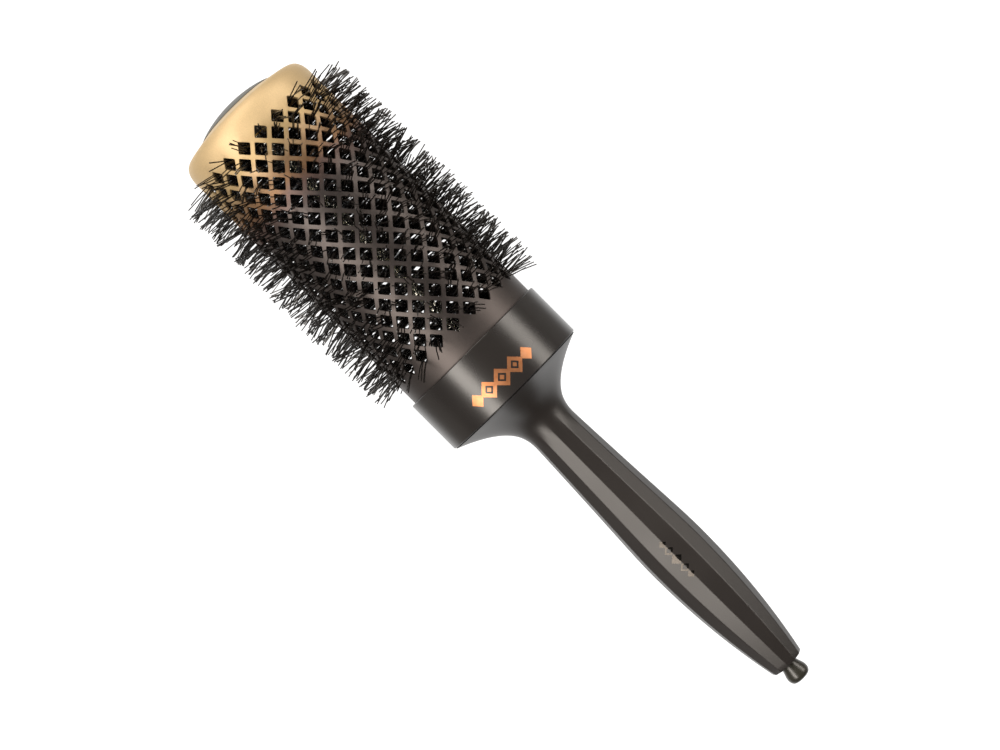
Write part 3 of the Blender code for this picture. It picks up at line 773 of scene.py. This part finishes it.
def handle():
    """The moulding: spigot, hub, flare, faceted grip and the bore that the pick is kept in."""
    sector = math.tau / GRIP_SIDES
    shares = [0.0, 0.035, 0.075, 0.12, 0.3, 0.5, 0.7, 0.88, 0.925, 0.965]
    angles = [GRIP_TURN + (side + share) * sector for side in range(GRIP_SIDES) for share in shares]

    def plain(x, radius):
        """A round ring of the handle's skin."""
        return [on_axis(x, radius, angle) for angle in angles]

    spigot = BARREL_RADIUS - BARREL_WALL - GAP
    spigot_bore = spigot - SPIGOT_WALL
    socket = FERRULE_RADIUS + GAP
    boss = socket + BOSS_WALL
    floor = HUB_X + HUB_FLOOR
    boss_front = floor + BOSS_LENGTH
    inside_front = [
        (floor, socket, 0),
        (boss_front, socket, 0.2 * MM),
        (boss_front, boss, 0.3 * MM),
        (floor, boss, 0.5 * MM),
        (floor, spigot_bore, 0.5 * MM),
        (SPIGOT_FRONT, spigot_bore, 0.2 * MM),
        (SPIGOT_FRONT, spigot, 0.3 * MM),
        (HUB_X, spigot, 0),
        (HUB_X, RIM_RADIUS, 0.3 * MM),
        (HUB_X - 1 * MM, grip_radius(1 * MM), 0),
    ]
    rings = [plain(x, radius) for x, radius in filleted(inside_front)[:-1]]
    grip_from = NECK_AT * 1.4
    grip_to = HANDLE_LENGTH - TAIL_ROUNDING
    flare = [grip_from * step / 44 for step in range(2, 44)]
    grip = [grip_from + (grip_to - grip_from) * step / 60 for step in range(61)]
    for back in flare + grip:
        rings.append([on_axis(HUB_X - back, grip_surface(back, angle), angle) for angle in angles])
    for share in (0.24, 0.6, 1.0):
        back = grip_to + TAIL_ROUNDING * math.sin(math.acos(1 - share))
        inset = TAIL_ROUNDING * share
        rings.append(
            [on_axis(HUB_X - back, grip_surface(back, angle) - inset, angle) for angle in angles]
        )
    seat = GROMMET_RADIUS + GAP
    seat_floor = TAIL_X + (GROMMET_FRONT - GROMMET_REAR) + GAP
    bore = PIN_RADIUS + GAP
    inside_tail = [
        (TAIL_X, seat),
        (seat_floor, seat),
        (seat_floor, bore),
        (PIN_TIP + GAP, bore),
    ]
    rings += [plain(x, radius) for x, radius in inside_tail]
    verts, faces = skinned(rings)
    faces = [face[::-1] for face in faces]
    count = len(angles)
    faces += [tuple(range(count))[::-1], tuple(range(len(verts) - count, len(verts)))]
    piece("handle_moulding", verts, faces, HANDLE_COAT, "brush", ["handle"], 24)


COLLAR_PRINT_AT = COLLAR_FRONT - 13.5 * MM
HANDLE_PRINT_AT = COLLAR_FRONT - 96.0 * MM
FOIL_THICKNESS = 0.03 * MM
FOIL_SUNK = 0.01 * MM  # how far the foil's underside is pressed into the plastic
COLLAR_DIAMONDS = [  # distance round the collar and half size in mm, and the share left hollow
    (-11.2, 2.6, None),
    (-5.8, 3.5, 0.5),
    (-5.8, 0.9, None),
    (0.0, 3.7, 0.5),
    (0.0, 1.0, None),
    (5.8, 3.5, 0.5),
    (5.8, 0.9, None),
    (11.2, 2.6, None),
]
HANDLE_DIAMONDS = [  # distance along the grip and half size in mm, and the share left hollow
    (-6.0, 1.5, None),
    (-3.1, 1.9, 0.55),
    (0.6, 2.3, None),
    (4.4, 1.9, 0.55),
    (7.3, 1.5, None),
]


def diamond(name, surface, centre, half, hollow, material):
    """A thin printed diamond laid on a surface. surface gives the radius at (x, angle)."""
    x0, angle0 = centre
    half_along, half_angle = half
    steps = 12
    verts, faces = [], []
    loops = [1.0, hollow] if hollow else [1.0, 0.66, 0.33]
    corners = [(1, 0), (0, 1), (-1, 0), (0, -1)]
    for side in (0.0, FOIL_THICKNESS):
        for scale in loops:
            for index, (along, around) in enumerate(corners):
                after = corners[(index + 1) % 4]
                for step in range(steps):
                    share = step / steps
                    x = x0 + half_along * scale * (along * (1 - share) + after[0] * share)
                    angle = angle0 + half_angle * scale * (around * (1 - share) + after[1] * share)
                    verts.append(on_axis(x, surface(x, angle) + side - FOIL_SUNK, angle))
    count = 4 * steps
    layers = len(loops)

    def strip(one, other, flip):
        """Joins two loops by their first vertices' numbers."""
        for step in range(count):
            after = (step + 1) % count
            face = (one + step, one + after, other + after, other + step)
            faces.append(face[::-1] if flip else face)

    for layer in range(layers - 1):
        strip(layer * count, (layer + 1) * count, True)
        strip((layers + layer) * count, (layers + layer + 1) * count, False)
    strip(0, layers * count, False)
    if hollow:
        strip((layers - 1) * count, (2 * layers - 1) * count, True)
    else:
        for side, flip in ((0.0, True), (FOIL_THICKNESS, False)):
            verts.append(on_axis(x0, surface(x0, angle0) + side - FOIL_SUNK, angle0))
            hub = len(verts) - 1
            base = ((layers - 1) if side == 0.0 else (2 * layers - 1)) * count
            for step in range(count):
                after = (step + 1) % count
                face = (base + step, base + after, hub)
                faces.append(face[::-1] if flip else face)
    piece(name, verts, faces, material, "brush", (), 40)


def prints():
    """Plain diamond friezes: copper foil round the collar, and grey foil along the grip."""
    turn = 1 / COLLAR_RADIUS
    for number, (offset, size, hollow) in enumerate(COLLAR_DIAMONDS):
        diamond(
            f"collar_print_{number + 1}",
            lambda x, angle: COLLAR_RADIUS,
            (COLLAR_PRINT_AT, math.radians(1.8) + offset * MM * turn),
            (size * MM, size * MM * turn),
            hollow,
            COPPER_FOIL,
        )
    for number, (offset, size, hollow) in enumerate(HANDLE_DIAMONDS):
        diamond(
            f"handle_print_{number + 1}",
            lambda x, angle: grip_surface(HUB_X - x, angle),
            (HANDLE_PRINT_AT - offset * MM, math.radians(10.5)),
            (size * 0.9 * MM, size * MM / BELLY_RADIUS),
            hollow,
            GREY_FOIL,
        )


# ---------------------------------------------------------------- pick


PICK_POINT = 9.0 * MM


def pick():
    """The sectioning pick, with its ground needle and its knob, and the grommet that grips it."""
    point = PIN_TIP - PICK_POINT
    pin = [(PIN_TIP, 0.0, 0)]
    for share in (0.02, 0.1, 0.3, 0.6, 0.85):
        pin.append((PIN_TIP + (point - PIN_TIP) * share, PIN_RADIUS * share**0.85, 0))
    pin += [
        (point, PIN_RADIUS, 0.5 * MM),
        (PIN_REAR, PIN_RADIUS, 0.2 * MM),
        (PIN_REAR, 0.0, 0),
    ]
    turned("pick_needle", pin, PIN_STEEL, "pick", ["pick_pin"], 32)
    length = KNOB_FRONT - KNOB_REAR
    bore = PIN_RADIUS + GAP / 2
    knob = [
        (PIN_REAR - GAP / 2, 0.0, 0),
        (PIN_REAR - GAP / 2, bore, 0),
        (KNOB_FRONT, bore, 0),
        (KNOB_FRONT, KNOB_RADIUS * 0.71, 0.2 * MM),
        (KNOB_FRONT - 0.20 * length, KNOB_RADIUS * 0.80, 0.5 * MM),
        (KNOB_FRONT - 0.52 * length, KNOB_RADIUS * 0.98, 1.0 * MM),
        (KNOB_FRONT - 0.74 * length, KNOB_RADIUS, 0.7 * MM),
        (KNOB_FRONT - 0.93 * length, KNOB_RADIUS * 0.86, 0.5 * MM),
        (KNOB_REAR, KNOB_RADIUS * 0.66, 0.4 * MM),
        (KNOB_REAR, 0.0, 0),
    ]
    knob.reverse()
    turned("pick_knob_moulding", knob, KNOB_PLASTIC, "pick", ["pick_knob"], 64)
    grommet = [
        (GROMMET_REAR, PIN_RADIUS + GAP, 0),
        (GROMMET_REAR, GROMMET_RADIUS, 0.3 * MM),
        (GROMMET_FRONT, GROMMET_RADIUS, 0.2 * MM),
        (GROMMET_FRONT, PIN_RADIUS + GAP, 0.2 * MM),
    ]
    turned("grommet_ring", grommet, RUBBER, "brush", ["pick_grommet"], 48)


def carried_over():
    """Gives the CAD nodes that stay their own finish."""
    for number in range(3):
        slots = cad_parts[f"barrel_pin_{number + 1}"].material_slots
        for slot in slots:
            slot.material = PIN_STEEL


# ---------------------------------------------------------------- studio


GLOW_TO = 45.0  # mm to each side of the brush's axis, over which the table lights it in full
DIM_FROM = 95.0  # mm to each side, past which the table hardly lights it
SOFTBOX_TINT = (1.0, 0.93, 0.85)
SOFTBOX_HEIGHT = 1.1
SOFTBOXES = [  # name, degrees ahead and degrees round from overhead, size in metres, watts
    ("softbox_left", 0.0, 40.0, (1.4, 0.42), 19.0),
    ("softbox_right", 0.0, -60.0, (1.4, 0.44), 12.0),
    ("softbox_front", 55.0, 0.0, (0.8, 0.8), 8.0),
]
CAMERA_HEIGHT = 0.746
CAMERA_LEAN = math.radians(1.8)
CAMERA_X = COLLAR_FRONT + 4.6 * MM
TARGET_X = COLLAR_FRONT - 13.25 * MM


def table():
    """White lit acrylic: a soft even glow with no pattern, under a sheen too dull to mirror.

    It is white to the eye everywhere, but lights the brush mostly from a strip below it, so that
    the plastic's sides stay dark.
    """
    made, tree, shader, place = start("lightbox_acrylic")
    cloud = add(tree, "TexNoise", {"Vector": place, "Scale": 1 / 180.0})
    across = add(tree, "SeparateXYZ", {"Vector": place}).outputs["Y"]
    aside = add(tree, "Math", {0: across}, operation="ABSOLUTE")
    strip = {"Value": aside, "From Min": GLOW_TO, "From Max": DIM_FROM, "To Min": 1.1, "To Max": 0.1}
    glow = add(tree, "MapRange", strip, interpolation_type="SMOOTHSTEP")
    seen = add(tree, "LightPath", {}).outputs["Is Camera Ray"]
    sockets = {
        "Base Color": add(tree, "ValToRGB", {"Fac": cloud}, [(0.3, "#4a4a4a"), (0.7, "#505050")]),
        "Roughness": 0.6,
        "Emission Color": (1.0, 1.0, 1.0, 1.0),
        "Emission Strength": add(tree, "Math", {0: seen, 1: glow}, operation="MAXIMUM"),
    }
    fill(tree, shader, sockets)
    mesh = bpy.data.meshes.new("table")
    half = 2.5
    low = -TIP_RADIUS - 0.2 * MM
    corners = [(-half, -half, low), (half, -half, low), (half, half, low), (-half, half, low)]
    mesh.from_pydata(corners, [], [(0, 1, 2, 3)])
    mesh.materials.append(made)
    floor = bpy.data.objects.new("table", mesh)
    bpy.context.scene.collection.objects.link(floor)


def lights():
    """A white room that lights the brush dimly, and softboxes that all face its collar."""
    world = bpy.data.worlds.new("studio")
    bpy.context.scene.world = world
    world.use_nodes = True
    tree = world.node_tree
    seen = add(tree, "LightPath", {}).outputs["Is Camera Ray"]
    strength = add(tree, "MapRange", {"Value": seen, "To Min": 0.12, "To Max": 1.0})
    sky = {"Color": (1.0, 1.0, 1.0, 1.0), "Strength": strength}
    fill(tree, tree.nodes["Background"], sky)
    at_collar = Matrix.Translation((0.02, 0.0, 0.0))
    out = Matrix.Translation((0.0, 0.0, SOFTBOX_HEIGHT))
    for name, ahead, lean, size, power in SOFTBOXES:
        data = bpy.data.lights.new(name, "AREA")
        data.shape = "RECTANGLE"
        data.size, data.size_y = size
        data.energy = power
        data.color = SOFTBOX_TINT
        lamp = bpy.data.objects.new(name, data)
        bpy.context.scene.collection.objects.link(lamp)
        round_axis = Matrix.Rotation(-math.radians(lean), 4, "X")
        forward = Matrix.Rotation(math.radians(ahead), 4, "Y")
        lamp.matrix_world = at_collar @ round_axis @ forward @ out


def camera():
    """Looks down on the brush, which runs from the top left to the bottom right of the frame."""
    data = bpy.data.cameras.new("camera")
    data.sensor_width = 36.0
    data.lens = 81.0
    made = bpy.data.objects.new("camera", data)
    bpy.context.scene.collection.objects.link(made)
    eye = Vector(on_axis(CAMERA_X, CAMERA_HEIGHT, CAMERA_LEAN))
    back = (eye - Vector((TARGET_X, 0.0, 0.0))).normalized()
    right = Vector((1.0, -1.0, 0.0)).cross(back).normalized()
    turn = Matrix((right, back.cross(right), back)).transposed()
    made.matrix_world = Matrix.Translation(eye) @ turn.to_4x4()
    bpy.context.scene.camera = made
    bpy.context.scene.view_settings.view_transform = "Standard"


barrel()
front_cap()
core_wires()
ferrules()
bristles()
collar()
handle()
prints()
pick()
carried_over()
table()
lights()
camera()
